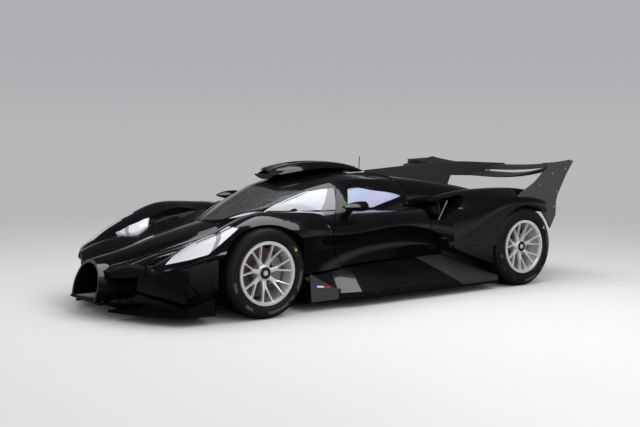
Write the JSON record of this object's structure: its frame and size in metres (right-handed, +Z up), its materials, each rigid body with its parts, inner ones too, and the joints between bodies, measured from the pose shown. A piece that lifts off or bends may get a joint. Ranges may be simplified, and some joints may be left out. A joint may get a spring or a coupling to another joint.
{
  "type": "track-only two-seat hypercar",
  "caption": "Low mid-engined two-seat track car with a tall winged tail, forward-hinged doors, steered front wheels and four wheels that roll.",
  "frame": {"origin": "on the ground under the middle of the car's length and width", "axes": "+X forward, +Y to the car's left, +Z up"},
  "size_m": [4.742, 2.0508, 1.1652],
  "materials": {
    "paint": "gloss black clear coat",
    "carbon": "satin carbon fibre",
    "glass": "clear polycarbonate",
    "lens": "clear lamp cover",
    "red_lens": "dark red lens",
    "tyre": "slick rubber",
    "rim": "satin silver",
    "disc": "carbon ceramic, ground",
    "upright_metal": "machined",
    "dark_metal": "black coated",
    "engine_metal": "cast",
    "titanium": "heat tinted",
    "seat_cloth": "black technical cloth",
    "trim": "matt black",
    "red_metal": "red"
  },
  "bodies": {
    "chassis": {"bonnet": "paint", "cabin_frame": "carbon", "cockpit_tub": "carbon", "dashboard": "trim", "diffuser": "carbon", "dorsal_fin": "carbon", "endplates": "carbon", "engine": "engine_metal", "exhausts": "titanium", "fixed_glass": "glass", "floor_and_splitter": "carbon", "front_fenders": "paint", "headlamps": "lens", "nose": "paint", "nose_grille": "dark_metal", "rear_deck": "paint", "rear_fenders": "paint", "rear_uprights": "upright_metal", "roof_scoop": "carbon", "seats": "seat_cloth", "sills": "paint", "steering_wheel": "trim", "suspension": "dark_metal", "tail_lamps": "red_lens", "tail_panel": "carbon", "tow_eye": "red_metal", "wing_blades": "carbon"},
    "door_left": {"door_left": "paint", "door_glass_left": "glass"},
    "front_knuckle_left": {"knuckle_front_left": "upright_metal"},
    "front_wheel_left": {"tyre_front_left": "tyre", "rim_front_left": "rim", "disc_front_left": "disc"},
    "rear_wheel_left": {"tyre_rear_left": "tyre", "rim_rear_left": "rim", "disc_rear_left": "disc"},
    "door_right": {"door_right": "paint", "door_glass_right": "glass"},
    "front_knuckle_right": {"knuckle_front_right": "upright_metal"},
    "front_wheel_right": {"tyre_front_right": "tyre", "rim_front_right": "rim", "disc_front_right": "disc"},
    "rear_wheel_right": {"tyre_rear_right": "tyre", "rim_rear_right": "rim", "disc_rear_right": "disc"}
  },
  "joints": [
    {"name": "steer_left", "type": "hinge", "parent": "chassis", "child": "front_knuckle_left", "pos_m": [1.335, 0.735, 0.34], "axis": [0, 0, 1], "range_deg": [-14, 14]},
    {"name": "roll_front_left", "type": "hinge", "parent": "front_knuckle_left", "child": "front_wheel_left", "pos_m": [1.335, 0.82, 0.34], "axis": [0, 1, 0], "continuous": true},
    {"name": "roll_rear_left", "type": "hinge", "parent": "chassis", "child": "rear_wheel_left", "pos_m": [-1.415, 0.8, 0.355], "axis": [0, 1, 0], "continuous": true},
    {"name": "open_door_left", "type": "hinge", "parent": "chassis", "child": "door_left", "pos_m": [0.765, 0.985, 0.585], "axis": [0, 0.5, -0.866], "range_deg": [0, 60]},
    {"name": "steer_right", "type": "hinge", "parent": "chassis", "child": "front_knuckle_right", "pos_m": [1.335, -0.735, 0.34], "axis": [0, 0, 1], "range_deg": [-14, 14]},
    {"name": "roll_front_right", "type": "hinge", "parent": "front_knuckle_right", "child": "front_wheel_right", "pos_m": [1.335, -0.82, 0.34], "axis": [0, 1, 0], "continuous": true},
    {"name": "roll_rear_right", "type": "hinge", "parent": "chassis", "child": "rear_wheel_right", "pos_m": [-1.415, -0.8, 0.355], "axis": [0, 1, 0], "continuous": true},
    {"name": "open_door_right", "type": "hinge", "parent": "chassis", "child": "door_right", "pos_m": [0.765, -0.985, 0.585], "axis": [0, 0.5, 0.866], "range_deg": [0, 60]}
  ],
  "couplings": [
    {"joint": "steer_right", "follows": "steer_left", "ratio": 1}
  ]
}
